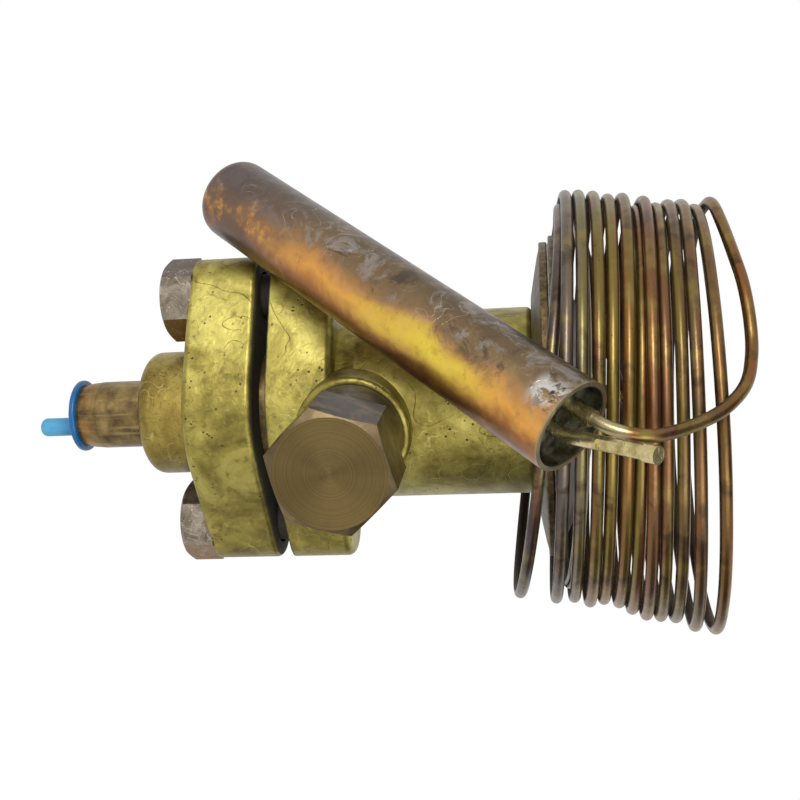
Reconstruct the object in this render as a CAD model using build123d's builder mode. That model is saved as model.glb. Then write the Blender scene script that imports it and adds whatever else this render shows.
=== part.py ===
"""Thermostatic expansion valve with a flanged outlet, a coiled capillary and a sensing bulb.

Frame: +Z runs along the valve from the outlet socket to the power element, and -Y is the
side that carries the seal cap of the superheat adjustment. The origin is the centre of the
outlet socket's mouth. All sizes are in millimetres.
"""

import os
from math import cos, pi, radians, sin, tan

from build123d import *

# ---- clearances -----------------------------------------------------------
fit_gap = 0.05          # radial clearance of a running or pressed fit
loose_gap = 0.15        # radial clearance of a part that is only located
rest_gap = 0.3          # clearance between a part and what it lies against

# ---- outlet side ----------------------------------------------------------
socket_r = 6.4          # solder socket for 12.7 mm tube
socket_depth = 11.0
nozzle_wall = 1.15
nozzle_taper = 0.6      # how far the nozzle's rim is drawn in
taper_length = 4.5
nozzle_reach = 16.0     # from the mouth to the flange's boss
nozzle_way_r = 5.4      # way through the nozzle above its socket
boss_r = 13.75
boss_height = 12.8
boss_round = 3.0
flange_thick = 15.2
spot_depth = 0.7        # spot face under each bolt head
spot_r = 9.7
collar_r = 14.0         # nozzle collar that the flange clamps
collar_thick = 3.5
collar_recess = 1.5
gasket_thick = 1.0
gasket_width = 3.6

# ---- two-bolt flange outline ---------------------------------------------
bolt_offset = 25.4      # bolt axis from the valve axis
lobe_r = 8.75
flange_waist_r = 21.0   # the flanges' round middle
lobe_turn = -4.5        # both flanges, about the valve's axis
cast_round = 1.3        # rounding of the castings' edges
lobe_round = 1.8        # upper edge of the body's flange

# ---- flange bolts ---------------------------------------------------------
bolt_r = 4.9
bolt_length = 27.0
bolt_head = 7.4
bolt_flats = 16.0
bolt_turn = -8.0
bolt_tip_gap = 1.0      # blind hole beyond the bolt's tip
bolt_hole_r = 5.5

# ---- valve body -----------------------------------------------------------
body_flange_thick = 13.9
groove_width = 4.6
groove_depth = 2.6
neck_r = 20.3
neck_length = 36.8
chamber_r = 9.5
chamber_height = 35.5
cage_r = 5.5            # orifice cage
cage_height = 5.0
orifice_r = 2.2
inlet_r = 4.8
inlet_rise = 9.0        # inlet axis above the chamber's roof
inlet_boss_r = 10.4
inlet_boss_reach = 26.0
inlet_seat_depth = 9.0
inlet_reach = 14.0      # nozzle beyond its boss
recess_r = 12.5         # pocket under the buffer plate
recess_depth = 3.0
rod_offset = 7.2
rod_r = 1.0

# ---- superheat adjustment and seal cap -----------------------------------
stem_rise = 18.5        # stem axis above the body's lower face
cap_boss_r = 12.0
cap_boss_round = 1.1
cap_boss_lead = 3.0     # cap boss beyond the flanges' round middle
spigot_r = 9.0
spigot_length = 10.0
nut_bore_r = 6.5
nut_bore_depth = 14.0
collar_bore_depth = 2.2
stem_r = 3.0
stem_collar_r = 5.0
stem_screw_r = 2.2
pilot_depth = 2.0
cap_gasket_thick = 1.0
cap_skirt = 10.5
cap_skirt_r = 10.7
cap_flats = 22.0
cap_hex = 14.5
cap_turn = 13.6
cap_chamfer = 1.6
wedge_length = 9.0      # along the stem
wedge_width = 8.0
wedge_above = 4.0       # mid height of its slope above the stem axis
wedge_below = 4.0
wedge_slope = 0.15
wedge_gap = 0.1         # between the wedge and the spring seat on it
seat_thick = 1.6
flow_notch_r = 2.2
nut_hex_length = 3.0
drive_flats = 4.2
drive_length = 5.0
stem_end = 43.0
cap_hollow_r = 7.3
cap_hollow_end = 46.0
strainer_wall = 0.3
strainer_length = 11.0
strainer_rim = 0.5

# ---- valve pin, spring and push rods --------------------------------------
spring_r = 5.6
spring_wire_r = 0.45
spring_turns = 4
carrier_r = 8.9
carrier_thick = 2.5
lift_gap = 0.7          # carrier below the chamber's roof
pin_r = 1.85
pin_shank_r = 1.4
pin_rise = 5.6
pin_tip_r = 0.7
buffer_hub_r = 9.0
buffer_r = 21.0
buffer_thick = 1.4
stroke = 0.9            # how far the pin opens

# ---- power element --------------------------------------------------------
case_sheet = 0.9
case_step_r = 22.5
case_step = 0.8
case_flat_r = 27.0
lower_rim_r = 34.0
upper_rim_r = 35.3
rim_width = 4.0
rim_thick = 1.7
lower_dish = 2.0
diaphragm_thick = 0.3
dome_rise = 7.0
fitting_r = 2.6
fitting_length = 6.5

# ---- capillary and bulb ---------------------------------------------------
tube_r = 1.19           # 3/32 inch copper capillary
coil_r = 43.0
bulb_r = 8.75
bulb_length = 100.2
bulb_wall = 0.9
bulb_round = 3.0
bulb_heading = Vector(0.384, -0.591, 0.709)
bulb_gap = 0.8          # between the bulb and the flange lobe beside it
bulb_rise = 4.0         # where it passes the lobe, above the flange's lower face
bulb_overhang = 18.3    # closed end beyond the flange lobe that it lies on
tube_end_depth = 1.5    # capillary's end below the mouth plug's face
mouth_recess = 3.0
mouth_plug = 2.0
ferrule_r = 1.6
ferrule_length = 4.0
ferrule_spot = (0.65, 4.2)      # on the mouth plug, from the bulb's axis
charge_r = 1.3
charge_spot = (1.95, -1.05)
charge_rise = 2.0       # straight run out of the mouth plug
charge_end = (-5.2, 1.4, 20.1)      # from the mouth plug's centre
charge_tip_r = 1.55
charge_tip_length = 2.6
crimp_back = 9.5        # middle of the crimp, back from the tip
crimp_length = 4.6
crimp_width = 2.2
crimp_thick = 1.8

# ---- capillary's route ----------------------------------------------------
# Height above the coil's zero and reach beyond its radius for each turn, where the turn
# crosses -X (top) and then +X (bottom), and how far its front hangs above the straight line
# between the two. The turns fan out towards the open end.
top_rise = (3.6, 0.1, 1.5, 4.2, 7.2, 10.3, 13.3, 15.9, 17.6, 20.1, 22.7, 25.4, 28.0, 31.1)
top_reach = (-4.9, -2.4, 0.4, 0.3, -0.1, -0.9, -0.9, -3.7, -1.8, -3.4, -2.9, -3.0, -4.2, -3.2)
bottom_rise = (-1.4, -12.1, -3.8, 0.1, 3.4, 6.6, 9.8, 12.6, 15.7, 18.8, 21.9, 26.1, 29.9)
bottom_reach = (-3.2, -1.4, -0.3, -0.4, 0.7, 0.2, 1.0, 2.6, 3.8, 4.2, 4.5, 6.4, 7.1)
front_rise = (1.5, 0.9, 0, -0.2, -0.3, -1.0, -1.2, -1.5, -1.9, -2.3, -2.3, -3.0, -1.9)
turn_steps = 6          # corners in each half turn
bend_spread = 1 / cos(pi / turn_steps / 2)      # corners outside the bent tube's circle
coil_lift = 0.9         # coil's zero above the case's rim
lead_rise = 17.0        # first corner, above the head fitting
lead_points = ((60, 13, 14.6), (90, 21, 12.1), (120, 28.5, 9.1), (150, 34, 5.6))
loop_points = (
    (-36.0, -11.9, 32.0),
    (-27.8, -24.2, 33.4),
    (-22.2, -28.6, 33.9),
    (-16.5, -32.1, 33.9),
    (-11.3, -39.9, 31.9),
    (-8.3, -47.1, 26.2),
    (-6.7, -51.6, 19.0),
    (-7.15, -57.0, 13.0),
)
loop_entry = 3.6        # last corner beyond the ferrule's tip

# ---- outlet plug ----------------------------------------------------------
plug_disc_r = 8.1
plug_disc_thick = 1.5
plug_spigot = 5.0
plug_wall = 0.8
plug_tab_r = 2.1
plug_tab_length = 10.0
plug_tab_shift = 2.5

# ---- heights worked out from the sizes above ------------------------------
nozzle_r = socket_r + nozzle_wall
flange_low = nozzle_reach + boss_height
flange_high = flange_low + flange_thick
bolt_seat = flange_low + spot_depth
collar_low = flange_high - collar_recess
body_low = collar_low + collar_thick + gasket_thick
body_flange_high = body_low + body_flange_thick
neck_low = body_flange_high + groove_width
neck_high = neck_low + neck_length
stem_z = body_low + stem_rise
roof_z = body_low + chamber_height
inlet_z = roof_z + inlet_rise
seat_high = stem_z + wedge_above + wedge_slope * chamber_r + seat_thick
carrier_low = roof_z - lift_gap - carrier_thick
case_low = neck_high
rim_low = case_low + lower_dish
diaphragm_low = rim_low + rim_thick
upper_low = diaphragm_low + diaphragm_thick
rim_high = upper_low + rim_thick
dome_high = rim_high + dome_rise
buffer_high = diaphragm_low - rest_gap
pocket_floor = neck_high - recess_depth
stem_axis = Plane(origin=(0, 0, stem_z), x_dir=(1, 0, 0), z_dir=(0, -1, 0))
inlet_axis = Plane(origin=(0, 0, inlet_z), x_dir=(1, 0, 0), z_dir=(0, 1, 0))


cap_boss_reach = flange_waist_r + cap_boss_lead
coil_z = rim_high + coil_lift
lobe_plane = Plane.XY.rotated((0, 0, lobe_turn))


def save(part, label):
    """Label a finished piece and write it as one STEP file."""
    part.label = label
    export_step(part, f"parts/{label}.step")


def flange_outline(height):
    """Two-bolt outline at this height: a lobe round each bolt and a round middle."""
    with BuildSketch(lobe_plane.offset(height)) as outline:
        with Locations((bolt_offset, 0), (-bolt_offset, 0)):
            Circle(lobe_r)
        Circle(flange_waist_r)
        make_hull()
    return outline.sketch


def turned(plane, points):
    """Close a half section, given as (radius, height) in the plane, for revolving about its height."""
    with BuildSketch(plane) as section:
        with BuildLine():
            Polyline(*points, close=True)
        make_face()
    return section.sketch


os.makedirs("parts", exist_ok=True)

# ---- outlet flange: one casting with its boss -----------------------------
with BuildPart() as outlet_flange:
    extrude(flange_outline(flange_low), amount=flange_thick)
    flange_edges = outlet_flange.edges().group_by(Axis.Z)
    fillet(flange_edges[0] + flange_edges[-1], cast_round)
    with BuildSketch(Plane.XY.offset(nozzle_reach)):
        Circle(boss_r)
    extrude(amount=boss_height)
    fillet(outlet_flange.edges().group_by(Axis.Z)[0], boss_round)
    with BuildSketch(lobe_plane.offset(flange_low)):
        with Locations((bolt_offset, 0), (-bolt_offset, 0)):
            Circle(spot_r)
    extrude(amount=spot_depth, mode=Mode.SUBTRACT)
    with BuildSketch(Plane.XY.offset(nozzle_reach)):
        Circle(nozzle_r + loose_gap)
    extrude(amount=flange_high, mode=Mode.SUBTRACT)
    with BuildSketch(Plane.XY.offset(collar_low)):
        Circle(collar_r + loose_gap)
    extrude(amount=collar_recess, mode=Mode.SUBTRACT)
    with BuildSketch(lobe_plane.offset(flange_low)):
        with Locations((bolt_offset, 0), (-bolt_offset, 0)):
            Circle(bolt_hole_r)
    extrude(amount=flange_thick, mode=Mode.SUBTRACT)
save(outlet_flange.part, "outlet_flange")

# ---- outlet nozzle: drawn tube with a socket and a clamped collar ----------
collar_high = collar_low + collar_thick
with BuildPart() as outlet_nozzle:
    tube_section = turned(
        Plane.XZ,
        (
            (socket_r, 0),
            (nozzle_r - nozzle_taper, 0),
            (nozzle_r - nozzle_taper * 0.4, taper_length * 0.45),
            (nozzle_r, taper_length),
            (nozzle_r, collar_low),
            (collar_r, collar_low),
            (collar_r, collar_high),
            (nozzle_way_r, collar_high),
            (nozzle_way_r, socket_depth),
            (socket_r, socket_depth),
        ),
    )
    revolve(tube_section, axis=Axis.Z)
save(outlet_nozzle.part, "outlet_nozzle")

# ---- outlet plug: soft plastic cap with an off-centre pull tab -------------
with BuildPart() as outlet_plug:
    with BuildSketch(Plane.XY.offset(-plug_disc_thick)):
        Circle(plug_disc_r)
    extrude(amount=plug_disc_thick)
    fillet(outlet_plug.edges(), plug_disc_thick * 0.4)
    with BuildSketch():
        Circle(socket_r - fit_gap)
        Circle(socket_r - fit_gap - plug_wall, mode=Mode.SUBTRACT)
    extrude(amount=plug_spigot)
    with BuildSketch(Plane.XY.offset(-plug_disc_thick)):
        with Locations((plug_tab_shift, 0)):
            Circle(plug_tab_r)
    extrude(amount=-plug_tab_length)
    fillet(outlet_plug.edges().group_by(Axis.Z)[0], plug_tab_r * 0.7)
save(outlet_plug.part, "outlet_plug")

# ---- collar gasket ---------------------------------------------------------
with BuildPart() as collar_gasket:
    with BuildSketch(Plane.XY.offset(collar_high)):
        Circle(collar_r - loose_gap)
        Circle(collar_r - loose_gap - gasket_width, mode=Mode.SUBTRACT)
    extrude(amount=gasket_thick)
save(collar_gasket.part, "collar_gasket")


# ---- flange bolts: two hexagon bolts ---------------------------------------
def flange_bolt(x):
    """One hexagon bolt with a chamfered head, standing on its spot face at x."""
    corner = bolt_flats / 2 / cos(radians(30))
    with BuildPart() as bolt:
        with BuildSketch(lobe_plane.offset(bolt_seat - bolt_head)):
            with Locations((x, 0)):
                RegularPolygon(corner, 6, rotation=bolt_turn)
        extrude(amount=bolt_head)
        with BuildSketch(lobe_plane.offset(bolt_seat - bolt_head)):
            with Locations((x, 0)):
                Circle(bolt_flats / 2 * 0.96)
        extrude(amount=bolt_head, taper=-60, mode=Mode.INTERSECT)
        with BuildSketch(lobe_plane.offset(bolt_seat)):
            with Locations((x, 0)):
                Circle(bolt_r)
        extrude(amount=bolt_length)
        chamfer(bolt.edges().group_by(Axis.Z)[-1], 0.8)
    return bolt.part


flange_bolts = Compound(children=[flange_bolt(bolt_offset), flange_bolt(-bolt_offset)])
save(flange_bolts, "flange_bolts")

# ---- valve body: one casting, bored for everything inside ------------------
with BuildPart() as valve_body:
    extrude(flange_outline(body_low), amount=body_flange_thick)
    fillet(valve_body.edges().group_by(Axis.Z)[-1], lobe_round)
    with BuildSketch(Plane.XY.offset(body_flange_high)):
        Circle(neck_r - groove_depth)
    extrude(amount=groove_width)
    with BuildSketch(Plane.XY.offset(neck_low)):
        Circle(neck_r)
    extrude(amount=neck_length)
    fillet(valve_body.edges().group_by(Axis.Z)[-1], cast_round)
    with BuildSketch(stem_axis):
        Circle(cap_boss_r)
    extrude(amount=cap_boss_reach)
    fillet(valve_body.edges().filter_by(GeomType.CIRCLE).group_by(Axis.Y)[0], cap_boss_round)
    with BuildSketch(stem_axis.offset(cap_boss_reach)):
        Circle(spigot_r)
    extrude(amount=spigot_length)
    with BuildSketch(inlet_axis):
        Circle(inlet_boss_r)
    extrude(amount=inlet_boss_reach)
    # chamber, orifice bore and the passage to the inlet
    with BuildSketch(Plane.XY.offset(body_low)):
        Circle(chamber_r)
    extrude(amount=chamber_height, mode=Mode.SUBTRACT)
    with BuildSketch(Plane.XY.offset(roof_z)):
        Circle(cage_r + fit_gap)
    extrude(amount=cage_height, mode=Mode.SUBTRACT)
    with BuildSketch(Plane.XY.offset(roof_z)):
        Circle(orifice_r + 1)
    extrude(amount=inlet_rise, mode=Mode.SUBTRACT)
    with BuildSketch(inlet_axis.offset(-inlet_r)):
        Circle(inlet_r)
    extrude(amount=inlet_boss_reach + inlet_r, mode=Mode.SUBTRACT)
    with BuildSketch(inlet_axis.offset(inlet_boss_reach)):
        Circle(nozzle_r + fit_gap)
    extrude(amount=-inlet_seat_depth, mode=Mode.SUBTRACT)
    # stem bores, widest outside
    with BuildSketch(stem_axis.offset(cap_boss_reach + spigot_length)):
        Circle(nut_bore_r)
    extrude(amount=-nut_bore_depth, mode=Mode.SUBTRACT)
    with BuildSketch(stem_axis.offset(cap_boss_reach + spigot_length - nut_bore_depth)):
        Circle(stem_collar_r + loose_gap)
    extrude(amount=-collar_bore_depth, mode=Mode.SUBTRACT)
    with BuildSketch(stem_axis):
        Circle(stem_r + fit_gap)
    extrude(amount=cap_boss_reach, mode=Mode.SUBTRACT)
    with BuildSketch(stem_axis):
        Circle(stem_screw_r + fit_gap)
    extrude(amount=-(chamber_r + pilot_depth), mode=Mode.SUBTRACT)
    # pocket for the buffer plate and the push rod ways
    with BuildSketch(Plane.XY.offset(neck_high - recess_depth)):
        Circle(recess_r)
    extrude(amount=recess_depth, mode=Mode.SUBTRACT)
    with BuildSketch(Plane.XY.offset(roof_z)):
        with Locations((rod_offset, 0), (-rod_offset, 0)):
            Circle(rod_r + fit_gap)
    extrude(amount=neck_high - roof_z, mode=Mode.SUBTRACT)
    with BuildSketch(lobe_plane.offset(body_low)):
        with Locations((bolt_offset, 0), (-bolt_offset, 0)):
            Circle(bolt_r + loose_gap)
    extrude(amount=bolt_seat + bolt_length + bolt_tip_gap - body_low, mode=Mode.SUBTRACT)
save(valve_body.part, "valve_body")

# ---- inlet nozzle and the strainer cup that it holds in place --------------
seat_floor = inlet_boss_reach - inlet_seat_depth
with BuildPart() as inlet_nozzle:
    with BuildSketch(inlet_axis.offset(seat_floor + strainer_rim)):
        Circle(nozzle_r)
        Circle(nozzle_way_r, mode=Mode.SUBTRACT)
    extrude(amount=inlet_boss_reach + inlet_reach - seat_floor - strainer_rim)
    with BuildSketch(inlet_axis.offset(inlet_boss_reach + inlet_reach)):
        Circle(socket_r)
    extrude(amount=-socket_depth, mode=Mode.SUBTRACT)
save(inlet_nozzle.part, "inlet_nozzle")

strainer_r = inlet_r - fit_gap
with BuildPart() as inlet_strainer:
    with BuildSketch(inlet_axis.offset(seat_floor)):
        Circle(nozzle_r - loose_gap)
    extrude(amount=strainer_rim)
    with BuildSketch(inlet_axis.offset(seat_floor)):
        Circle(strainer_r)
    extrude(amount=-strainer_length)
    with BuildSketch(inlet_axis.offset(seat_floor + strainer_rim)):
        Circle(strainer_r - strainer_wall)
    extrude(amount=strainer_wall - strainer_length - strainer_rim, mode=Mode.SUBTRACT)
save(inlet_strainer.part, "inlet_strainer")

# ---- orifice cage, pressed into the chamber's roof -------------------------
with BuildPart() as orifice_cage:
    with BuildSketch(Plane.XY.offset(roof_z)):
        Circle(cage_r)
        Circle(orifice_r, mode=Mode.SUBTRACT)
    extrude(amount=cage_height)
    seat_ring = orifice_cage.edges().group_by(Axis.Z)[0].sort_by(SortBy.RADIUS)[0]
    chamfer(seat_ring, 0.5)
save(orifice_cage.part, "orifice_cage")

# ---- pin carrier, pin and push rods: these rise and fall together ----------
carrier_high = carrier_low + carrier_thick
with BuildPart() as pin_carrier:
    with BuildSketch(Plane.XY.offset(carrier_low)):
        Circle(carrier_r)
        Circle(pin_shank_r + fit_gap, mode=Mode.SUBTRACT)
        with Locations((0, carrier_r), (0, -carrier_r)):
            Circle(flow_notch_r, mode=Mode.SUBTRACT)
    extrude(amount=carrier_thick)
save(pin_carrier.part, "pin_carrier")

with BuildPart() as valve_pin:
    pin_section = turned(
        Plane.XZ,
        (
            (0, carrier_low),
            (pin_shank_r, carrier_low),
            (pin_shank_r, carrier_high),
            (pin_r, carrier_high),
            (pin_r, carrier_high + pin_rise / 2),
            (pin_tip_r, carrier_high + pin_rise),
            (0, carrier_high + pin_rise),
        ),
    )
    revolve(pin_section, axis=Axis.Z)
save(valve_pin.part, "valve_pin")

hub_low = pocket_floor + stroke + rest_gap


def push_rod(x):
    """One push rod from the pin carrier up to the buffer plate."""
    with BuildPart() as rod:
        with BuildSketch(Plane.XY.offset(carrier_high)):
            with Locations((x, 0)):
                Circle(rod_r)
        extrude(amount=hub_low - carrier_high)
    return rod.part


push_rods = Compound(children=[push_rod(rod_offset), push_rod(-rod_offset)])
save(push_rods, "push_rods")

with BuildPart() as buffer_plate:
    with BuildSketch(Plane.XY.offset(hub_low)):
        Circle(buffer_hub_r)
    extrude(amount=buffer_high - buffer_thick - hub_low)
    with BuildSketch(Plane.XY.offset(buffer_high - buffer_thick)):
        Circle(buffer_r)
    extrude(amount=buffer_thick)
    fillet(buffer_plate.edges().group_by(Axis.Z)[-1], buffer_thick * 0.3)
save(buffer_plate.part, "buffer_plate")

# ---- superheat spring, its seat, and the wedge under the seat --------------
spring_low = seat_high + spring_wire_r + fit_gap
spring_high = carrier_low - spring_wire_r - fit_gap
spring_pitch = (spring_high - spring_low) / spring_turns
with BuildPart() as superheat_spring:
    with BuildLine() as spring_line:
        Helix(spring_pitch, spring_high - spring_low, spring_r, center=(0, 0, spring_low))
    with BuildSketch(Plane(origin=spring_line.line @ 0, z_dir=spring_line.line % 0)):
        Circle(spring_wire_r)
    sweep(path=spring_line.line, is_frenet=True)
save(superheat_spring.part, "superheat_spring")

seat_r = chamber_r - rest_gap
slope_mid = stem_z + wedge_above
slope_side = slope_mid + wedge_gap
with BuildPart() as spring_seat:
    with BuildSketch(Plane.YZ):
        with BuildLine():
            Polyline(
                (-seat_r, slope_side - wedge_slope * seat_r),
                (seat_r, slope_side + wedge_slope * seat_r),
                (seat_r, seat_high),
                (-seat_r, seat_high),
                close=True,
            )
        make_face()
    extrude(amount=seat_r, both=True)
    with BuildSketch(Plane.XY.offset(stem_z)):
        Circle(seat_r)
        with PolarLocations(seat_r, 3, 90):
            Circle(flow_notch_r, mode=Mode.SUBTRACT)
    extrude(amount=seat_high - stem_z, mode=Mode.INTERSECT)
save(spring_seat.part, "spring_seat")

with BuildPart() as adjusting_wedge:
    with BuildSketch(Plane.YZ):
        with BuildLine():
            Polyline(
                (-wedge_length / 2, stem_z - wedge_below),
                (wedge_length / 2, stem_z - wedge_below),
                (wedge_length / 2, slope_mid + wedge_slope * wedge_length / 2),
                (-wedge_length / 2, slope_mid - wedge_slope * wedge_length / 2),
                close=True,
            )
        make_face()
    extrude(amount=wedge_width / 2, both=True)
    with BuildSketch(stem_axis):
        Circle(stem_screw_r + fit_gap)
    extrude(amount=wedge_length, both=True, mode=Mode.SUBTRACT)
save(adjusting_wedge.part, "adjusting_wedge")

# ---- adjusting stem with its packing and packing nut -----------------------
collar_floor = cap_boss_reach + spigot_length - nut_bore_depth
collar_from = collar_floor - collar_bore_depth + loose_gap
collar_to = collar_floor - loose_gap
with BuildPart() as adjusting_stem:
    with BuildSketch(stem_axis.offset(loose_gap - chamber_r - pilot_depth)):
        Circle(stem_screw_r)
    extrude(amount=2 * chamber_r + pilot_depth)
    with BuildSketch(stem_axis.offset(chamber_r + loose_gap)):
        Circle(stem_r)
    extrude(amount=stem_end - drive_length - chamber_r - loose_gap)
    with BuildSketch(stem_axis.offset(collar_from)):
        Circle(stem_collar_r)
    extrude(amount=collar_to - collar_from)
    with BuildSketch(stem_axis.offset(stem_end - drive_length)):
        Rectangle(drive_flats, drive_flats)
    extrude(amount=drive_length)
save(adjusting_stem.part, "adjusting_stem")

packing_end = collar_floor + (nut_bore_depth - collar_bore_depth) * 0.4
with BuildPart() as stem_packing:
    with BuildSketch(stem_axis.offset(collar_floor)):
        Circle(nut_bore_r - fit_gap)
        Circle(stem_r + fit_gap, mode=Mode.SUBTRACT)
    extrude(amount=packing_end - collar_floor)
save(stem_packing.part, "stem_packing")

spigot_end = cap_boss_reach + spigot_length
with BuildPart() as packing_nut:
    with BuildSketch(stem_axis.offset(packing_end)):
        Circle(nut_bore_r - fit_gap)
    extrude(amount=spigot_end - packing_end)
    with BuildSketch(stem_axis.offset(spigot_end)):
        RegularPolygon(nut_bore_r - fit_gap, 6)
    extrude(amount=nut_hex_length)
    with BuildSketch(stem_axis.offset(packing_end)):
        Circle(stem_r + 2 * fit_gap)
    extrude(amount=spigot_end + nut_hex_length - packing_end, mode=Mode.SUBTRACT)
save(packing_nut.part, "packing_nut")

# ---- seal cap and its gasket ------------------------------------------------
cap_low = cap_boss_reach + cap_gasket_thick
cap_hex_low = cap_low + cap_skirt
with BuildPart() as cap_gasket:
    with BuildSketch(stem_axis.offset(cap_boss_reach)):
        Circle(cap_skirt_r)
        Circle(spigot_r + loose_gap, mode=Mode.SUBTRACT)
    extrude(amount=cap_gasket_thick)
save(cap_gasket.part, "cap_gasket")

with BuildPart() as seal_cap:
    with BuildSketch(stem_axis.offset(cap_hex_low)):
        RegularPolygon(cap_flats / 2 / cos(radians(30)), 6, rotation=cap_turn)
    extrude(amount=cap_hex)
    with BuildSketch(stem_axis.offset(cap_hex_low + cap_hex)):
        Circle(cap_flats / 2 * 0.977)
    extrude(amount=-cap_hex, taper=-60, mode=Mode.INTERSECT)
    with BuildSketch(stem_axis.offset(cap_low)):
        Circle(cap_skirt_r)
    extrude(amount=cap_skirt)
    with BuildSketch(stem_axis.offset(cap_low)):
        Circle(spigot_r + fit_gap)
    extrude(amount=spigot_length, mode=Mode.SUBTRACT)
    with BuildSketch(stem_axis.offset(cap_low)):
        Circle(cap_hollow_r)
    extrude(amount=cap_hollow_end - cap_low, mode=Mode.SUBTRACT)
save(seal_cap.part, "seal_cap")

# ---- power element: two case halves clamp the diaphragm ---------------------
case_hole_r = recess_r + rest_gap
rim_in = lower_rim_r - rim_width
with BuildPart() as lower_case:
    lower_section = turned(
        Plane.XZ,
        (
            (case_hole_r, case_low),
            (case_step_r, case_low),
            (case_flat_r, case_low + case_step),
            (rim_in + case_sheet, rim_low - case_sheet / 2),
            (rim_in + 3 * case_sheet, rim_low),
            (lower_rim_r, rim_low),
            (lower_rim_r, diaphragm_low),
            (rim_in, diaphragm_low),
            (rim_in, rim_low + case_sheet / 2),
            (case_flat_r, case_low + case_step + case_sheet),
            (case_step_r, case_low + case_sheet),
            (case_hole_r, case_low + case_sheet),
        ),
    )
    revolve(lower_section, axis=Axis.Z)
    rim_edges = lower_case.edges().filter_by(GeomType.CIRCLE).sort_by(SortBy.RADIUS)[-2:]
    fillet(rim_edges, rim_thick * 0.2)
save(lower_case.part, "lower_case")

with BuildPart() as diaphragm:
    with BuildSketch(Plane.XY.offset(diaphragm_low)):
        Circle(lower_rim_r - diaphragm_thick)
    extrude(amount=diaphragm_thick)
save(diaphragm.part, "diaphragm")

dome_mid_r = (rim_in + fitting_r) * 0.62
dome_mid_z = rim_high + dome_rise * 0.56
with BuildPart() as upper_case:
    with BuildSketch(Plane.XZ):
        with BuildLine():
            Polyline(
                (rim_in, rim_high),
                (upper_rim_r, rim_high),
                (upper_rim_r, upper_low),
                (rim_in - case_sheet, upper_low),
                (rim_in - case_sheet, rim_high - case_sheet / 2),
            )
            ThreePointArc(
                (rim_in - case_sheet, rim_high - case_sheet / 2),
                (dome_mid_r, dome_mid_z - case_sheet),
                (fitting_r + fit_gap, dome_high - case_sheet),
            )
            Line((fitting_r + fit_gap, dome_high - case_sheet), (fitting_r + fit_gap, dome_high))
            ThreePointArc(
                (fitting_r + fit_gap, dome_high),
                (dome_mid_r, dome_mid_z),
                (rim_in, rim_high),
            )
        make_face()
    revolve(axis=Axis.Z)
    rings = upper_case.edges().filter_by(GeomType.CIRCLE).filter_by(Plane.XY)
    rim_edges = rings.sort_by(SortBy.RADIUS)[-2:]
    fillet(rim_edges, rim_thick * 0.2)
save(upper_case.part, "upper_case")

with BuildPart() as head_fitting:
    with BuildSketch(Plane.XY.offset(dome_high - case_sheet)):
        Circle(fitting_r)
    extrude(amount=fitting_length)
    with BuildSketch(Plane.XY.offset(dome_high + fit_gap)):
        Circle(fitting_r * 1.6)
    extrude(amount=case_sheet)
    with BuildSketch(Plane.XY.offset(dome_high - case_sheet)):
        Circle(tube_r + fit_gap)
    extrude(amount=fitting_length, mode=Mode.SUBTRACT)
save(head_fitting.part, "head_fitting")

# ---- sensing bulb: it lies against a lobe of the body's flange --------------
heading = bulb_heading.normalized()
away = Vector(heading.Y, -heading.X, 0).normalized()
lobe = lobe_plane.from_local_coords(Vector(-bolt_offset, 0, body_low + bulb_rise))
touch = lobe + away * (lobe_r + bulb_r + bulb_gap)
bulb_base = Plane(origin=touch - heading * bulb_overhang, x_dir=-away, z_dir=heading)
bulb_mouth = bulb_base.offset(bulb_length)
plug_face = bulb_mouth.offset(-mouth_recess)
with BuildPart() as bulb_shell:
    with BuildSketch(bulb_base):
        Circle(bulb_r)
    extrude(amount=bulb_length)
    fillet(bulb_shell.edges().sort_by(Axis(bulb_base.origin, heading))[0], bulb_round)
    with BuildSketch(bulb_base.offset(bulb_wall)):
        Circle(bulb_r - bulb_wall)
    extrude(amount=bulb_length, mode=Mode.SUBTRACT)
save(bulb_shell.part, "bulb_shell")

with BuildPart() as bulb_plug:
    with BuildSketch(plug_face):
        Circle(bulb_r - bulb_wall - fit_gap)
        with Locations(ferrule_spot):
            Circle(ferrule_r + fit_gap, mode=Mode.SUBTRACT)
        with Locations(charge_spot):
            Circle(charge_r + fit_gap, mode=Mode.SUBTRACT)
    extrude(amount=-mouth_plug)
save(bulb_plug.part, "bulb_plug")

with BuildPart() as bulb_ferrule:
    with BuildSketch(plug_face.offset(-mouth_plug)):
        with Locations(ferrule_spot):
            Circle(ferrule_r)
            Circle(tube_r + fit_gap, mode=Mode.SUBTRACT)
    extrude(amount=mouth_plug + ferrule_length)
save(bulb_ferrule.part, "bulb_ferrule")


def bent_line(points):
    """Straight runs joined by arcs as large as the shorter of each pair of runs allows."""
    radii = []
    for before, corner, after in zip(points, points[1:], points[2:]):
        half_turn = radians((corner - before).get_angle(after - corner)) / 2
        shorter = min((corner - before).length, (after - corner).length)
        radii.append(0.45 * shorter / tan(half_turn))
    return FilletPolyline(*points, radius=radii), radii


def from_face(x, y, distance):
    """A point at (x, y) off the bulb's axis and this far out from the mouth plug's face."""
    return plug_face.from_local_coords(Vector(x, y, distance))


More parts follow.
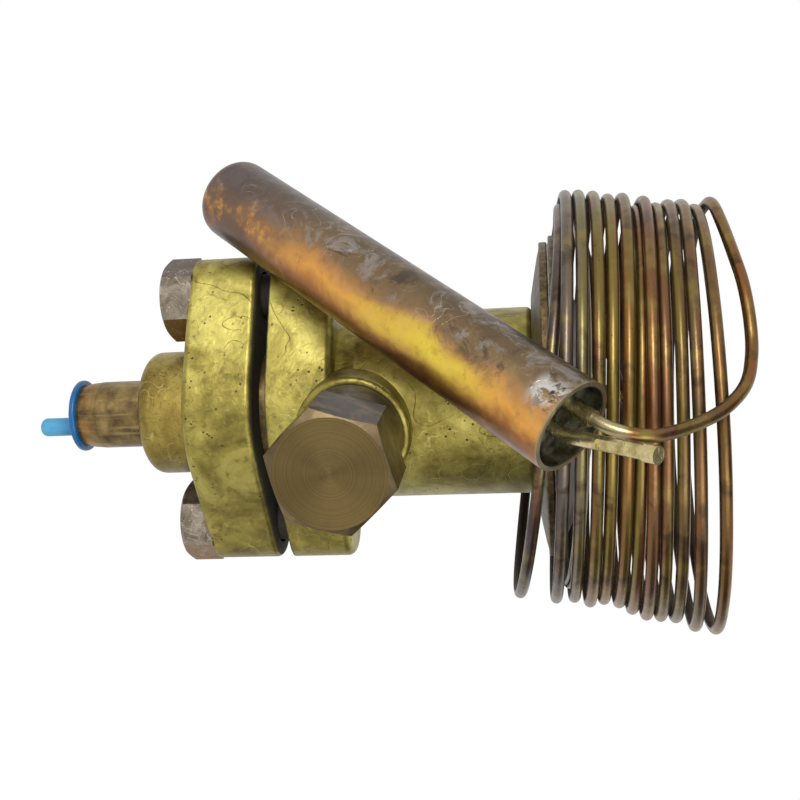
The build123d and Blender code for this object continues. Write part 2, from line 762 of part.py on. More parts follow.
with BuildPart() as charge_tube:
    charge_start = from_face(*charge_spot, -mouth_plug)
    with BuildLine() as charge_line:
        bent_line([charge_start, from_face(*charge_spot, charge_rise), from_face(*charge_end)])
    with BuildSketch(Plane(origin=charge_line.line @ 0, z_dir=charge_line.line % 0)):
        Circle(charge_r)
    sweep(path=charge_line.line)
    tip = Plane(origin=charge_line.line @ 1, z_dir=charge_line.line % 1)
    with BuildSketch(tip.offset(-charge_tip_length)):
        Circle(charge_tip_r)
    extrude(amount=charge_tip_length)
    outward = Vector(0, -1, 0) + tip.z_dir * tip.z_dir.Y
    crimp = Plane(origin=tip.origin - tip.z_dir * crimp_back, x_dir=tip.z_dir, z_dir=outward)
    for side in (1, -1):
        with BuildSketch(crimp.offset(side * crimp_thick / 2)):
            Rectangle(crimp_length, crimp_width)
        extrude(amount=side * charge_r, mode=Mode.SUBTRACT)
save(charge_tube.part, "charge_tube")

# ---- capillary: from the head fitting, round its turns, to the bulb ---------
stations = []
for turn, (rise, reach) in enumerate(zip(top_rise, top_reach)):
    stations.append((coil_z + rise, (coil_r + reach) * bend_spread))
    if turn < len(bottom_rise):
        reach = coil_r + bottom_reach[turn]
        stations.append((coil_z + bottom_rise[turn], reach * bend_spread))

route = [Vector(0, 0, dome_high + fit_gap), Vector(0, 0, coil_z + lead_rise)]
for angle, reach, rise in lead_points:
    along, across = cos(radians(angle)), sin(radians(angle))
    route.append(Vector(reach * along, reach * across, coil_z + rise))
for half, (here, there) in enumerate(zip(stations, stations[1:])):
    bulge = front_rise[half // 2] if half % 2 == 0 else 0
    for step in range(turn_steps):
        share = (1 - cos(pi * step / turn_steps)) / 2
        height = here[0] + (there[0] - here[0]) * share + bulge * sin(pi * step / turn_steps)
        reach = here[1] + (there[1] - here[1]) * share
        angle = pi * (1 + half + step / turn_steps)
        route.append(Vector(reach * cos(angle), reach * sin(angle), height))
route.append(Vector(-stations[-1][1], 0, stations[-1][0]))
route += [Vector(x, y, coil_z + rise) for x, y, rise in loop_points]
route += [
    from_face(*ferrule_spot, ferrule_length + loop_entry),
    from_face(*ferrule_spot, -tube_end_depth),
]
with BuildPart() as capillary_tube:
    with BuildLine() as tube_line:
        _, tube_radii = bent_line(route)
    with BuildSketch(Plane(origin=tube_line.line @ 0, z_dir=tube_line.line % 0)):
        Circle(tube_r)
    sweep(path=tube_line.line)
save(capillary_tube.part, "capillary_tube")
tube_length = sum(edge.length for edge in tube_line.edges())
print("capillary length", round(tube_length), "tightest bend", round(min(tube_radii), 1))
volume_share = capillary_tube.part.volume / (pi * tube_r**2 * tube_length)
print("capillary volume over section times length", round(volume_share, 4))
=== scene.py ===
"""The look of the expansion valve: procedural finishes on the CAD pieces, studio light and the camera."""

from math import radians

import bpy
from mathutils import Matrix, Vector


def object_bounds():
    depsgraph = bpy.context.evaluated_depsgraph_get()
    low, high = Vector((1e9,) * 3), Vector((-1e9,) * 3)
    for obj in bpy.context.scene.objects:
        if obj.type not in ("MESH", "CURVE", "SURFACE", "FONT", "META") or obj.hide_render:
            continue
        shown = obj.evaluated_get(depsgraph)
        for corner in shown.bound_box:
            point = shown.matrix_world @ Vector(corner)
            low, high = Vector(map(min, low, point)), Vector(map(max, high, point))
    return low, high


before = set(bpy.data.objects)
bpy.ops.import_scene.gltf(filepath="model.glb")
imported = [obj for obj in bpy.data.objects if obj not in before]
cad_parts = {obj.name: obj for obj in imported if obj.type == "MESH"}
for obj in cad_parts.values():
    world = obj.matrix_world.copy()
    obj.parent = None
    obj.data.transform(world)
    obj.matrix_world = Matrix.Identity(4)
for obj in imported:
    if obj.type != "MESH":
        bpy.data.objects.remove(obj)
first_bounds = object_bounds()

# ---- places on the valve, in millimetres in the shared frame ----------------
STEM_HEIGHT = 65.5
CASE_FLAT_REACH, CASE_RIM_REACH = 29.5, 31.0
COIL_BOTTOM, COIL_TOP = 96, 144
COIL_SLOPE = 0.038
COIL_OUTER_REACH, COIL_INNER_REACH = 56, 53
BULB_HEADING = Vector((0.384, -0.591, 0.709)).normalized()
BULB_BASE = Vector((-47.7, 2.8, 38.0))
BULB_TOP = Vector((-0.736, 0.268, 0.622)).normalized()
BULB_MOUTH = 100.0
BULB_BORE = 8.2

# Heights between which the castings are painted black, as painted shade in the gap between the flanges and
# partly grime, and how far its edges fade
BODY_GAP_SHADE_GRIME = (46.5, 47.2)
FLANGE_GAP_SHADE_GRIME = (43.6, 47.0)
GAP_SHADE_GRIME_FADE = 0.2

# Two numbers are where a mark starts and where it is full, and three are its start, peak and end
BOSS_TINT = (28.9, 28.0)
SHANK_GAP_SHADE_GRIME = (30.5, 31.5)
PLUG_BLUE = (-9, -1)
NOZZLE_HEATED = (-1.0, 1.5, 4.5)
NOZZLE_RING = (4.1, 4.6, 5.1)
PINK_SIDE = (25, 40)
PINK_TURNS = (108, 116, 124)
SOLDER_TOP = (119.5, 117.0)
SOLDER_FRONT = (-50, -53)
CLOSED_END = (42, 8)
YELLOW_HIGHLIGHT_ACROSS = (-8.0, -4.0, 0.5)
YELLOW_HIGHLIGHT_ALONG = (40, 72, 98)

# ---- studio, in metres ------------------------------------------------------
VALVE_MIDDLE = (0, 0, 0.06)
SKY_STRENGTH = 0.45
FLOOR_SIZE = 4
FLOOR_GAP = 0.0002
FLOOR_GLOW_SHARE = 0.85
FLOOR_GLOW = 1.12
LENS_MM = 51.2
SENSOR_MM = 36
NEAREST_SEEN = 0.01
CAMERA_PLACE = (-0.06159, -0.24315, 0.10556)
CAMERA_RIGHT = Vector((0.0671, 0.1177, 0.9908)).normalized()
CAMERA_BACK = Vector((-0.2399, -0.9620, 0.1305)).normalized()


def rgb(red, green, blue):
    """A colour written as 0-255 display values, as the renderer wants it."""
    def linear(value):
        share = value / 255
        return share / 12.92 if share <= 0.04045 else ((share + 0.055) / 1.055) ** 2.4
    return (linear(red), linear(green), linear(blue), 1.0)


BRASS_LIGHT = rgb(186, 174, 92)
BRASS_MIDDLE = rgb(140, 127, 58)
BRASS_DARK = rgb(80, 70, 24)


class Finish:
    """One node material, built step by step. Lengths are in millimetres."""

    def __init__(self, name):
        self.material = bpy.data.materials.new(name)
        self.material.use_nodes = True
        self.tree = self.material.node_tree
        self.shader = self.tree.nodes["Principled BSDF"]
        source = self.tree.nodes.new("ShaderNodeTexCoord")
        self.normal = source.outputs["Normal"]
        self.place = self.vector("SCALE", source.outputs["Object"], scale=1000)

    def link(self, source, socket):
        """Join a socket, or set a plain value on it."""
        if isinstance(source, bpy.types.NodeSocket):
            self.tree.links.new(source, socket)
        else:
            socket.default_value = source

    def math(self, operation, *terms):
        """One number worked out from others."""
        node = self.tree.nodes.new("ShaderNodeMath")
        node.operation = operation
        for term, socket in zip(terms, node.inputs):
            self.link(term, socket)
        return node.outputs[0]

    def vector(self, operation, first, second=(0, 0, 0), scale=1.0):
        """A vector, or a length, worked out from other vectors."""
        node = self.tree.nodes.new("ShaderNodeVectorMath")
        node.operation = operation
        self.link(tuple(first) if isinstance(first, Vector) else first, node.inputs[0])
        self.link(tuple(second) if isinstance(second, Vector) else second, node.inputs[1])
        if operation == "SCALE":
            self.link(scale, node.inputs["Scale"])
        single = operation in ("DOT_PRODUCT", "LENGTH")
        return node.outputs["Value"] if single else node.outputs["Vector"]

    def along(self, axis):
        """The place's X, Y or Z."""
        node = self.tree.nodes.new("ShaderNodeSeparateXYZ")
        self.link(self.place, node.inputs[0])
        return node.outputs[axis]

    def sideways(self):
        """The place without its height: the way out from the valve's long axis."""
        return self.vector("MULTIPLY", self.place, (1, 1, 0))

    def facing(self, direction):
        """How far the surface faces a direction, from -1 to 1."""
        return self.vector("DOT_PRODUCT", self.normal, Vector(direction).normalized())

    def stretched(self, scales, turn=(0, 0, 0)):
        """The place, turned and then scaled by a different number along each axis."""
        node = self.tree.nodes.new("ShaderNodeMapping")
        self.link(self.place, node.inputs["Vector"])
        node.inputs["Rotation"].default_value = [radians(a) for a in turn]
        node.inputs["Scale"].default_value = scales
        return node.outputs[0]

    def noise(self, size, detail=4.0, rough=0.55, warp=0.0, place=None):
        """Noise from 0 to 1 with features about this many millimetres across."""
        node = self.tree.nodes.new("ShaderNodeTexNoise")
        self.link(self.place if place is None else place, node.inputs["Vector"])
        node.inputs["Scale"].default_value = 1 / size
        node.inputs["Detail"].default_value = detail
        node.inputs["Roughness"].default_value = rough
        node.inputs["Distortion"].default_value = warp
        return node.outputs["Fac"]

    def layers(self, distance, size, detail):
        """Noise that changes only with a distance, as in rings or in a coil's turns."""
        result = self.noise(size, detail, 0.5)
        result.node.noise_dimensions = "1D"
        self.link(distance, result.node.inputs["W"])
        return result

    def band(self, value, low, high, curve="SMOOTHSTEP"):
        """0 below low and 1 above high; falls instead if low is above high."""
        node = self.tree.nodes.new("ShaderNodeMapRange")
        node.interpolation_type = curve
        self.link(value, node.inputs["Value"])
        falls = low > high
        node.inputs["From Min"].default_value = min(low, high)
        node.inputs["From Max"].default_value = max(low, high)
        node.inputs["To Min"].default_value = 1.0 if falls else 0.0
        node.inputs["To Max"].default_value = 0.0 if falls else 1.0
        return node.outputs["Result"]

    def hill(self, value, low, peak, high):
        """0 at low and at high, 1 at peak."""
        return self.both(self.band(value, low, peak), self.band(value, high, peak))

    def patches(self, size, low, high, **kind):
        """0 or 1 in patches, soft where the noise lies between low and high."""
        return self.band(self.noise(size, **kind), low, high)

    def specks(self, apart, edge, group, low, high):
        """Small round spots, where a larger noise gathers them in groups."""
        node = self.tree.nodes.new("ShaderNodeTexVoronoi")
        self.link(self.place, node.inputs["Vector"])
        node.inputs["Scale"].default_value = 1 / apart
        return self.both(self.band(node.outputs["Distance"], 0.2, edge), self.patches(group, low, high))

    def creases(self, size, width=0.008, warp=0.4):
        """Thin wandering lines, as of tool marks and old knocks."""
        return self.hill(self.noise(size, 1, 0.5, warp), 0.5 - width, 0.5, 0.5 + width)

    def scratches(self, size, turn):
        """Fine straight marks that run along one direction."""
        place = self.stretched((1.0, 14.0, 14.0), turn)
        return self.patches(size, 0.62, 0.7, detail=1.5, rough=0.5, place=place)

    def both(self, *shares):
        """The product of several shares."""
        result = shares[0]
        for share in shares[1:]:
            result = self.math("MULTIPLY", result, share)
        return result

    def between(self, share, low, high):
        """A number from low to high."""
        return self.math("MULTIPLY_ADD", share, high - low, low)

    def uneven(self, value, size, sway, **kind):
        """A value that noise moves up and down by up to the sway."""
        return self.math("ADD", value, self.between(self.noise(size, **kind), -sway, sway))

    def ramp(self, value, *stops):
        """A colour that changes with value through (position, colour) stops."""
        node = self.tree.nodes.new("ShaderNodeValToRGB")
        self.link(value, node.inputs["Fac"])
        entries = node.color_ramp.elements
        while len(entries) < len(stops):
            entries.new(0.5)
        for entry, (position, colour) in zip(entries, stops):
            entry.position = position
            entry.color = colour
        return node.outputs["Color"]

    def lay(self, under, over, share, amount=1.0):
        """One colour laid over another, as much as the share and the amount say."""
        node = self.tree.nodes.new("ShaderNodeMix")
        node.data_type = "RGBA"
        self.link(self.both(share, amount), node.inputs["Factor"])
        self.link(under, node.inputs["A"])
        self.link(over, node.inputs["B"])
        return node.outputs["Result"]

    def finish(self, colour, rough, metal, *bumps):
        """Send the results to the shader. Each bump is (height from 0 to 1, depth in mm)."""
        self.link(colour, self.shader.inputs["Base Color"])
        self.link(rough, self.shader.inputs["Roughness"])
        self.link(metal, self.shader.inputs["Metallic"])
        below = None
        for height, depth in bumps:
            node = self.tree.nodes.new("ShaderNodeBump")
            self.link(height, node.inputs["Height"])
            node.inputs["Distance"].default_value = depth / 1000
            if below is not None:
                self.link(below, node.inputs["Normal"])
            below = node.outputs["Normal"]
        if below is not None:
            self.link(below, self.shader.inputs["Normal"])
        return self.material


# ---- finishes ---------------------------------------------------------------
def cast_brass(name, grime, joint):
    """Yellow-green cast metal with tarnish in blotches, dark pits and fine marks.

    joint are the pair of heights between which the casting is painted black: painted shade in the gap between
    the flanges, partly grime.
    """
    f = Finish(name)
    blotches = f.noise(14, detail=5, rough=0.6, warp=0.6)
    colour = f.ramp(blotches, (0.3, BRASS_DARK), (0.48, BRASS_MIDDLE), (0.66, BRASS_LIGHT))
    fine = f.noise(2.2, detail=6, rough=0.7)
    colour = f.lay(colour, BRASS_LIGHT, f.band(fine, 0.5, 0.75), 0.4)
    colour = f.lay(colour, BRASS_DARK, f.band(fine, 0.46, 0.3), 0.5)
    colour = f.lay(colour, BRASS_DARK, f.patches(5, 0.52, 0.7, detail=6, rough=0.65, warp=1.5), grime)

    boss = f.band(f.uneven(f.along("Z"), 4, 0.6), *BOSS_TINT)
    wrinkles = f.both(f.creases(2.5, width=0.03, warp=1.0), boss)
    colour = f.lay(colour, rgb(128, 100, 42), boss, 0.45)
    colour = f.lay(colour, rgb(74, 56, 22), wrinkles, 0.5)

    # Painted shade: surfaces facing +X, the underside in the picture, are darker
    under = f.band(f.facing((1, 0.1, 0)), 0.1, 0.75)
    colour = f.lay(colour, rgb(92, 84, 34), under, 0.45)
    pits = f.specks(apart=1.5, edge=0.08, group=8, low=0.46, high=0.58)
    colour = f.lay(colour, rgb(44, 36, 14), pits, 0.8)
    marks = f.both(f.creases(9, warp=0.8), f.patches(11, 0.45, 0.55))
    colour = f.lay(colour, rgb(214, 204, 132), marks, 0.3)
    lines = f.both(f.creases(12, width=0.006), f.patches(13, 0.42, 0.58))
    colour = f.lay(colour, rgb(70, 58, 20), lines, 0.45)

    # Painted shade in the gap between the flanges, partly grime: black between the gap heights, with soft
    # edges
    low, high = joint
    edge = f.uneven(f.along("Z"), 2.5, GAP_SHADE_GRIME_FADE)
    above = f.band(edge, low - GAP_SHADE_GRIME_FADE, low + GAP_SHADE_GRIME_FADE)
    below = f.band(edge, high + GAP_SHADE_GRIME_FADE, high - GAP_SHADE_GRIME_FADE)
    gap_shade_grime = f.both(above, below)
    colour = f.lay(colour, rgb(20, 17, 12), gap_shade_grime, 0.9)
    rough = f.math("MAXIMUM", f.between(f.noise(3, detail=5), 0.28, 0.54), f.both(gap_shade_grime, 0.8))
    grain = f.noise(0.8, rough=0.6)
    dents = f.noise(6, detail=3, rough=0.5)
    bumps = (grain, 0.05), (dents, 0.25), (pits, -0.12), (lines, -0.05)
    return f.finish(colour, rough, f.between(gap_shade_grime, 0.74, 0.1), *bumps)


def nozzle_metal():
    """Drawn brown tube with bright and heat-marked bands across it."""
    f = Finish("nozzle_metal")
    brown = (0.3, rgb(70, 57, 34)), (0.5, rgb(112, 92, 54)), (0.7, rgb(150, 128, 80))
    colour = f.ramp(f.noise(4, detail=5, rough=0.6), *brown)
    height = f.uneven(f.along("Z"), 5, 0.8)
    orange = f.both(f.hill(height, *NOZZLE_HEATED), f.patches(3, 0.42, 0.6))
    colour = f.lay(colour, rgb(158, 104, 50), orange, 0.55)
    drawn = f.patches(1.4, 0.5, 0.66, detail=3, rough=0.6, place=f.stretched((1.0, 1.0, 0.08)))
    colour = f.lay(colour, rgb(170, 148, 100), drawn, 0.4)
    ring = f.hill(f.along("Z"), *NOZZLE_RING)
    colour = f.lay(colour, rgb(84, 58, 26), ring, 0.35)
    rough = f.between(f.noise(3), 0.28, 0.5)
    return f.finish(colour, rough, 0.75, (f.noise(1.2), 0.03), (f.scratches(6, (0, 90, 0)), -0.02))


def bolt_steel():
    """Tarnished bolt heads with painted light and shade that differ from flat to flat, and a shank painted
    black for the shade in the gap between the flanges, partly grime.
    """
    f = Finish("bolt_steel")
    grey = (0.32, rgb(82, 72, 60)), (0.5, rgb(120, 109, 94)), (0.68, rgb(154, 144, 128))
    colour = f.ramp(f.noise(3.5, detail=6, rough=0.65, warp=0.5), *grey)
    # Painted light and shade: flats facing up the picture are darker, flats facing down are browner
    upper_flat_painted_shade = f.band(f.facing((-1, -0.35, 0)), 0.75, 0.9)
    lower_flat_painted_light = f.band(f.facing((1, -0.35, 0)), 0.75, 0.9)
    colour = f.lay(colour, rgb(84, 66, 56), upper_flat_painted_shade, 0.65)
    colour = f.lay(colour, rgb(132, 96, 44), lower_flat_painted_light, 0.7)
    flecks = f.specks(apart=1.1, edge=0.1, group=5, low=0.48, high=0.6)
    colour = f.lay(colour, rgb(206, 198, 188), flecks, 0.6)
    marks = f.creases(3, width=0.02, warp=0.8)
    colour = f.lay(colour, rgb(186, 178, 168), marks, 0.35)
    # Painted shade of the gap between the flanges, partly grime, on the bolt shank
    gap_shade_grime = f.band(f.along("Z"), *SHANK_GAP_SHADE_GRIME)
    colour = f.lay(colour, rgb(22, 18, 14), gap_shade_grime, 0.9)
    rough = f.math("MAXIMUM", f.between(f.noise(2), 0.32, 0.58), f.both(gap_shade_grime, 0.8))
    bumps = (f.noise(1.0), 0.04), (flecks, 0.03), (marks, -0.02)
    return f.finish(colour, rough, f.between(gap_shade_grime, 0.72, 0.1), *bumps)


def cap_metal():
    """A turned hexagonal cap: fine rings on its face, pale chamfer, dark heat-marked sides."""
    f = Finish("cap_metal")
    across = f.vector("MULTIPLY", f.vector("SUBTRACT", f.place, (0, 0, STEM_HEIGHT)), (1, 0, 1))
    outward = f.facing((0, -1, 0))
    face = f.band(outward, 0.97, 0.99)
    chamfer = f.both(f.band(outward, 0.3, 0.4), f.band(outward, 0.98, 0.96))
    rings = f.layers(f.vector("LENGTH", across), 0.3, detail=2)
    heated = (0.32, rgb(48, 40, 40)), (0.5, rgb(80, 66, 60)), (0.7, rgb(128, 110, 84))
    sides = f.ramp(f.noise(5, detail=5, rough=0.6, warp=1.0), *heated)
    turned = f.ramp(rings, (0.3, rgb(88, 72, 40)), (0.7, rgb(99, 82, 46)))
    turned = f.lay(turned, rgb(74, 62, 36), f.patches(7, 0.5, 0.7), 0.35)
    colour = f.lay(sides, turned, face)
    colour = f.lay(colour, rgb(118, 101, 62), chamfer, 0.5)
    tangent = f.tree.nodes.new("ShaderNodeTangent")
    tangent.direction_type = "RADIAL"
    tangent.axis = "Y"
    f.link(tangent.outputs[0], f.shader.inputs["Tangent"])
    f.shader.inputs["Anisotropic"].default_value = 0.8
    rough = f.between(face, 0.4, 0.3)
    return f.finish(colour, rough, 0.8, (f.both(rings, face), 0.006), (f.noise(1.5), 0.02))


def case_sheet(name, pale):
    """Pressed sheet: dark flat and a speckled brassy rim."""
    f = Finish(name)
    dark = (0.3, rgb(44, 40, 36)), (0.5, rgb(78, 70, 60)), (0.7, rgb(112, 100, 82))
    brassy = (0.34, rgb(58, 46, 30)), (0.52, rgb(98, 80, 50)), (0.72, pale)
    flat = f.ramp(f.noise(4, detail=6, rough=0.7, warp=0.5), *dark)
    speckled = f.ramp(f.noise(1.3, detail=6, rough=0.75), *brassy)
    rim = f.band(f.vector("LENGTH", f.sideways()), CASE_FLAT_REACH, CASE_RIM_REACH)
    rough = f.between(f.noise(2), 0.36, 0.6)
    return f.finish(f.lay(flat, speckled, rim), rough, 0.7, (f.noise(0.9), 0.04))


def capillary_metal():
    """Thin copper-alloy tube, tinted differently from turn to turn, with painted shade on the inner side of
    the turns within the coil.
    """
    f = Finish("capillary_metal")
    height = f.math("ADD", f.along("Z"), f.both(f.along("X"), COIL_SLOPE))
    height = f.uneven(height, 10, 1.2, detail=2)
    colour = f.ramp(
        f.band(height, COIL_BOTTOM, COIL_TOP, "LINEAR"),
        (0.0, rgb(62, 55, 58)), (0.2, rgb(72, 66, 66)), (0.3, rgb(112, 106, 94)),
        (0.35, rgb(92, 80, 52)), (0.42, rgb(122, 102, 50)), (0.52, rgb(112, 86, 48)),
        (0.6, rgb(110, 78, 54)), (0.68, rgb(102, 80, 48)), (0.76, rgb(96, 80, 56)),
        (0.84, rgb(104, 78, 42)), (0.92, rgb(122, 80, 42)), (1.0, rgb(112, 86, 46)))
    turns = f.layers(height, 2.3, detail=1)
    colour = f.lay(colour, rgb(126, 80, 42), f.band(turns, 0.5, 0.62), 0.55)
    colour = f.lay(colour, rgb(116, 104, 46), f.band(turns, 0.5, 0.38), 0.55)
    colour = f.lay(colour, rgb(146, 126, 68), f.patches(7, 0.5, 0.66, rough=0.6), 0.4)
    colour = f.lay(colour, rgb(62, 44, 30), f.patches(9, 0.52, 0.66, rough=0.6, warp=0.8), 0.7)
    pink = f.both(f.band(f.along("X"), *PINK_SIDE), f.hill(height, *PINK_TURNS))
    colour = f.lay(colour, rgb(142, 84, 66), pink, 0.5)
    solder = f.both(f.band(f.along("Z"), *SOLDER_TOP), f.band(f.along("Y"), *SOLDER_FRONT))
    colour = f.lay(colour, rgb(172, 160, 122), solder, 0.8)
    specks = f.specks(apart=1.2, edge=0.08, group=6, low=0.46, high=0.6)
    colour = f.lay(colour, rgb(52, 40, 32), specks, 0.6)

    # Painted shade: the inner side of the turns within the coil is darkened where back turns show through the
    # gaps
    outward = f.vector("NORMALIZE", f.sideways())
    inner = f.band(f.vector("DOT_PRODUCT", f.normal, outward), 0.15, -0.45)
    within = f.band(f.vector("LENGTH", f.sideways()), COIL_OUTER_REACH, COIL_INNER_REACH)
    painted_inner_shade = f.both(inner, within)
    colour = f.lay(colour, rgb(38, 28, 20), painted_inner_shade, 0.8)
    rough = f.math("MAXIMUM", f.between(f.noise(3), 0.24, 0.44), f.both(painted_inner_shade, 0.7))
    return f.finish(colour, rough, 0.82, (f.noise(1.4), 0.03))


def bulb_metal(name, rim=False):
    """Heat-tinted copper: golden streak that is partly painted highlight, a painted yellow highlight,
    purple-grey end, silver solder at the mouth and painted shade inside the mouth.
    """
    f = Finish(name)
    from_base = f.vector("SUBTRACT", f.place, BULB_BASE)
    along = f.vector("DOT_PRODUCT", from_base, BULB_HEADING)
    up = f.vector("DOT_PRODUCT", from_base, BULB_TOP)
    on_axis = f.vector("SCALE", BULB_HEADING, scale=along)
    reach = f.vector("LENGTH", f.vector("SUBTRACT", from_base, on_axis))
    waved = f.uneven(up, 13, 4, detail=5, rough=0.6, warp=0.5)
    wander = f.uneven(along, 16, 12, rough=0.6)
    # Colour across the bulb from lower edge to top: heat tint, with a golden streak along the lower middle
    # that is partly painted highlight
    colour = f.ramp(
        f.band(waved, -9, 9, "LINEAR"),
        (0.0, rgb(112, 72, 38)), (0.14, rgb(156, 102, 52)), (0.29, rgb(218, 156, 74)),
        (0.42, rgb(182, 132, 78)), (0.56, rgb(128, 104, 74)), (0.8, rgb(104, 86, 62)), (1.0, rgb(78, 64, 48)))
    # Painted highlight: a yellow spot on the golden streak
    painted_yellow_highlight = f.both(f.hill(waved, *YELLOW_HIGHLIGHT_ACROSS), f.hill(wander, *YELLOW_HIGHLIGHT_ALONG))
    colour = f.lay(colour, rgb(224, 204, 70), painted_yellow_highlight, 0.8)

    mottle = f.noise(3.0, detail=6, rough=0.7)
    colour = f.lay(colour, rgb(88, 70, 62), f.band(mottle, 0.5, 0.7), 0.35)
    colour = f.lay(colour, rgb(190, 160, 112), f.band(mottle, 0.48, 0.3), 0.22)
    worn = f.both(f.band(up, -2.5, 2.0), f.patches(8, 0.5, 0.62, detail=7, rough=0.75, warp=1.0))
    colour = f.lay(colour, rgb(150, 144, 138), worn, 0.6)
    burnt = f.both(f.band(up, -3.0, 1.0), f.patches(6.5, 0.53, 0.64, detail=7, rough=0.75, warp=0.8))
    colour = f.lay(colour, rgb(62, 50, 44), burnt, 0.7)
    closed = f.both(f.band(wander, *CLOSED_END), f.patches(5, 0.3, 0.5, detail=6, rough=0.7))
    colour = f.lay(colour, rgb(86, 74, 72), closed, 0.85)

    bright = f.both(
        f.band(along, BULB_MOUTH - 7.0, BULB_MOUTH - 4.5), f.hill(up, -2.5, 2, 6.5),
        f.patches(4, 0.42, 0.5, detail=5, rough=0.65, warp=0.6))
    colour = f.lay(colour, rgb(206, 204, 198), bright, 0.9)
    soot = f.both(
        f.band(along, BULB_MOUTH - 6.5, BULB_MOUTH - 2.5), f.hill(up, -4, 2.5, 8),
        f.patches(2.4, 0.54, 0.6, rough=0.65, warp=0.4))
    colour = f.lay(colour, rgb(32, 28, 30), soot, 0.85)
    # Painted shade inside the mouth's bore; the cup piece (rim) takes this shade colour all over
    deep = f.band(along, BULB_MOUTH - 5.0, BULB_MOUTH - 4.0)
    cup = f.both(f.band(reach, BULB_BORE + 0.3, BULB_BORE), deep)
    painted_inner_shade = (0.36, rgb(26, 26, 28)), (0.48, rgb(84, 86, 72)), (0.66, rgb(136, 134, 112))
    inside = f.ramp(f.noise(3, detail=5, rough=0.6), *painted_inner_shade)
    colour = f.lay(colour, inside, cup, 0.9)
    edge = f.both(f.band(along, BULB_MOUTH - 0.3, BULB_MOUTH - 0.05), f.band(reach, 7.6, 7.8))
    colour = f.lay(colour, rgb(142, 134, 108), edge, 0.6)
    if rim:
        colour = inside
    marks = f.both(f.creases(7, width=0.01, warp=1.5), f.patches(10, 0.48, 0.6), f.band(up, -3.0, 2.0))
    colour = f.lay(colour, rgb(196, 190, 184), marks, 0.4)
    rough = f.both(f.between(f.noise(3, detail=5), 0.22, 0.44), f.between(bright, 1.0, 0.5))
    bumps = (f.noise(1.2), 0.02), (f.noise(9, detail=3), 0.15), (marks, -0.02)
    return f.finish(colour, rough, 0.82, *bumps)


def plain_metal(name, low, middle, high, rough_low=0.28, rough_high=0.5, metal=0.8):
    """Worn metal for the smaller pieces."""
    f = Finish(name)
    worn = f.noise(2.5, detail=6, rough=0.65, warp=0.4)
    colour = f.ramp(worn, (0.3, low), (0.5, middle), (0.7, high))
    rough = f.between(f.noise(1.5), rough_low, rough_high)
    return f.finish(colour, rough, metal, (f.noise(0.9), 0.03), (f.scratches(4, (30, 60, 10)), -0.02))


def plug_plastic():
    """Deep blue shipping plug with a paler tip."""
    f = Finish("plug_plastic")
    colour = f.lay(rgb(84, 164, 204), rgb(0, 92, 148), f.band(f.along("Z"), *PLUG_BLUE))
    colour = f.lay(colour, rgb(0, 66, 112), f.patches(2.5, 0.5, 0.7), 0.3)
    f.shader.inputs["Subsurface Weight"].default_value = 0.1
    f.shader.inputs["Subsurface Scale"].default_value = 0.002
    return f.finish(colour, f.between(f.noise(2), 0.28, 0.45), 0.0, (f.noise(1.5), 0.03))


def gasket_black():
    """Dark soft ring."""
    f = Finish("gasket_black")
    colour = f.ramp(f.noise(1.5, detail=5), (0.3, rgb(18, 16, 15)), (0.7, rgb(52, 46, 40)))
    return f.finish(colour, f.between(f.noise(1.0), 0.6, 0.85), 0.0, (f.noise(0.7), 0.05))


steel = plain_metal("steel", rgb(96, 96, 98), rgb(142, 142, 144), rgb(184, 184, 186))
pale_copper = plain_metal(
    "pale_copper", rgb(136, 118, 74), rgb(186, 170, 118), rgb(218, 206, 162),
    rough_low=0.16, rough_high=0.34, metal=0.9)
machined_brass = plain_metal("machined_brass", rgb(132, 112, 44), rgb(178, 156, 72), rgb(208, 190, 106))
nozzle = nozzle_metal()
gasket = gasket_black()

# A node that isn't named here is plain steel
FINISHES = {
    "valve_body": cast_brass("cast_brass_body", 0.45, BODY_GAP_SHADE_GRIME),
    "outlet_flange": cast_brass("cast_brass_flange", 0.6, FLANGE_GAP_SHADE_GRIME),
    "outlet_nozzle": nozzle,
    "inlet_nozzle": nozzle,
    "outlet_plug": plug_plastic(),
    "flange_bolts": bolt_steel(),
    "seal_cap": cap_metal(),
    "lower_case": case_sheet("lower_case", rgb(142, 122, 80)),
    "upper_case": case_sheet("upper_case", rgb(150, 130, 88)),
    "capillary_tube": capillary_metal(),
    "head_fitting": pale_copper,
    "bulb_shell": bulb_metal("bulb_metal"),
    "bulb_plug": bulb_metal("bulb_cup", rim=True),
    "bulb_ferrule": pale_copper,
    "charge_tube": pale_copper,
    "collar_gasket": gasket,
    "cap_gasket": gasket,
    "stem_packing": gasket,
    "pin_carrier": machined_brass,
    "buffer_plate": machined_brass,
    "spring_seat": machined_brass,
    "packing_nut": machined_brass,
}
for node_name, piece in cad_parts.items():
    piece.data.materials.clear()
    piece.data.materials.append(FINISHES.get(node_name, steel))


# ---- studio -----------------------------------------------------------------
def seen_or_mirrored(tree):
    """1 for what the camera, a shiny surface or glass shows, 0 for the light on other surfaces."""
    path = tree.nodes.new("ShaderNodeLightPath")
    share = path.outputs["Is Camera Ray"]
    for kind in ("Is Glossy Ray", "Is Transmission Ray"):
        larger = tree.nodes.new("ShaderNodeMath")
        larger.operation = "MAXIMUM"
        tree.links.new(share, larger.inputs[0])
        tree.links.new(path.outputs[kind], larger.inputs[1])
        share = larger.outputs[0]
    return share


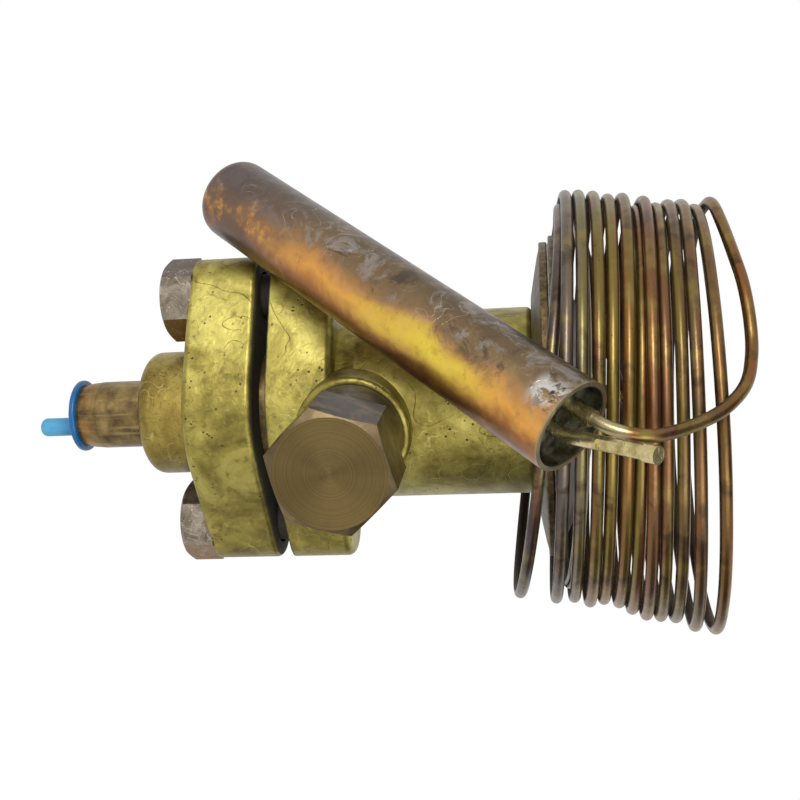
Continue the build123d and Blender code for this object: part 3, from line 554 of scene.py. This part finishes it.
def studio_world():
    """White where it is seen or mirrored, soft grey light elsewhere."""
    world = bpy.data.worlds.new("studio")
    bpy.context.scene.world = world
    world.use_nodes = True
    tree = world.node_tree
    tree.nodes.clear()
    soft = tree.nodes.new("ShaderNodeBackground")
    soft.inputs["Strength"].default_value = SKY_STRENGTH
    white = tree.nodes.new("ShaderNodeBackground")
    white.inputs["Color"].default_value = (1, 1, 1, 1)
    choose = tree.nodes.new("ShaderNodeMixShader")
    tree.links.new(seen_or_mirrored(tree), choose.inputs[0])
    tree.links.new(soft.outputs[0], choose.inputs[1])
    tree.links.new(white.outputs[0], choose.inputs[2])
    output = tree.nodes.new("ShaderNodeOutputWorld")
    tree.links.new(choose.outputs[0], output.inputs[0])


def towards(place, target, axis):
    """The turn that points an object's axis from its place to a target."""
    return (Vector(target) - Vector(place)).to_track_quat(axis, "Y").to_euler()


def lamp(name, place, size, watts):
    """A square soft box that points at the valve."""
    light = bpy.data.lights.new(name, "AREA")
    light.shape = "SQUARE"
    light.size = size
    light.energy = watts
    holder = bpy.data.objects.new(name, light)
    bpy.context.scene.collection.objects.link(holder)
    holder.location = place
    holder.rotation_euler = towards(place, VALVE_MIDDLE, "-Z")


def card(name, place, target, width, height):
    """A dark flag that only the metal's reflections see."""
    bpy.ops.mesh.primitive_plane_add(size=1, location=place)
    flag = bpy.context.object
    flag.name = name
    flag.scale = (width, height, 1)
    flag.rotation_euler = towards(place, target, "Z")
    flag.visible_camera = False
    flag.visible_shadow = False
    flag.visible_diffuse = False
    dark = Finish(name)
    flag.data.materials.append(dark.finish(rgb(28, 26, 22), 0.9, 0.0))


def pale_floor():
    """White where it is seen or mirrored, but for the valve's soft shadow."""
    bpy.ops.mesh.primitive_plane_add(size=FLOOR_SIZE, location=(0, 0, first_bounds[0][2] - FLOOR_GAP))
    floor = bpy.context.object
    floor.name = "floor"
    f = Finish("floor")
    f.link(rgb(235, 235, 235), f.shader.inputs["Base Color"])
    f.link(0.9, f.shader.inputs["Roughness"])
    glow = f.tree.nodes.new("ShaderNodeEmission")
    f.link(FLOOR_GLOW, glow.inputs["Strength"])
    blend = f.tree.nodes.new("ShaderNodeMixShader")
    f.link(f.both(seen_or_mirrored(f.tree), FLOOR_GLOW_SHARE), blend.inputs[0])
    f.link(f.shader.outputs[0], blend.inputs[1])
    f.link(glow.outputs[0], blend.inputs[2])
    f.link(blend.outputs[0], f.tree.nodes["Material Output"].inputs["Surface"])
    floor.data.materials.append(f.material)


def photo_camera():
    """The photograph's viewpoint."""
    camera = bpy.data.objects.new("camera", bpy.data.cameras.new("camera"))
    bpy.context.scene.collection.objects.link(camera)
    bpy.context.scene.camera = camera
    camera.data.lens = LENS_MM
    camera.data.sensor_width = SENSOR_MM
    camera.data.clip_start = NEAREST_SEEN
    up = CAMERA_BACK.cross(CAMERA_RIGHT).normalized()
    turn = Matrix((CAMERA_RIGHT, up, CAMERA_BACK)).transposed().to_4x4()
    camera.matrix_world = Matrix.Translation(CAMERA_PLACE) @ turn


studio_world()
lamp("key", (-0.45, -0.5, 0.0), size=0.35, watts=5)
lamp("fill", (0.2, -0.6, 0.3), size=0.5, watts=2)
card("flag_below", (0.35, -0.12, 0.17), (0, 0, 0.07), width=0.5, height=0.3)
card("flag_right", (0.0, -0.1, 0.5), (0, 0, 0.1), width=0.4, height=0.35)
pale_floor()
photo_camera()

bpy.context.scene.view_settings.view_transform = "Standard"
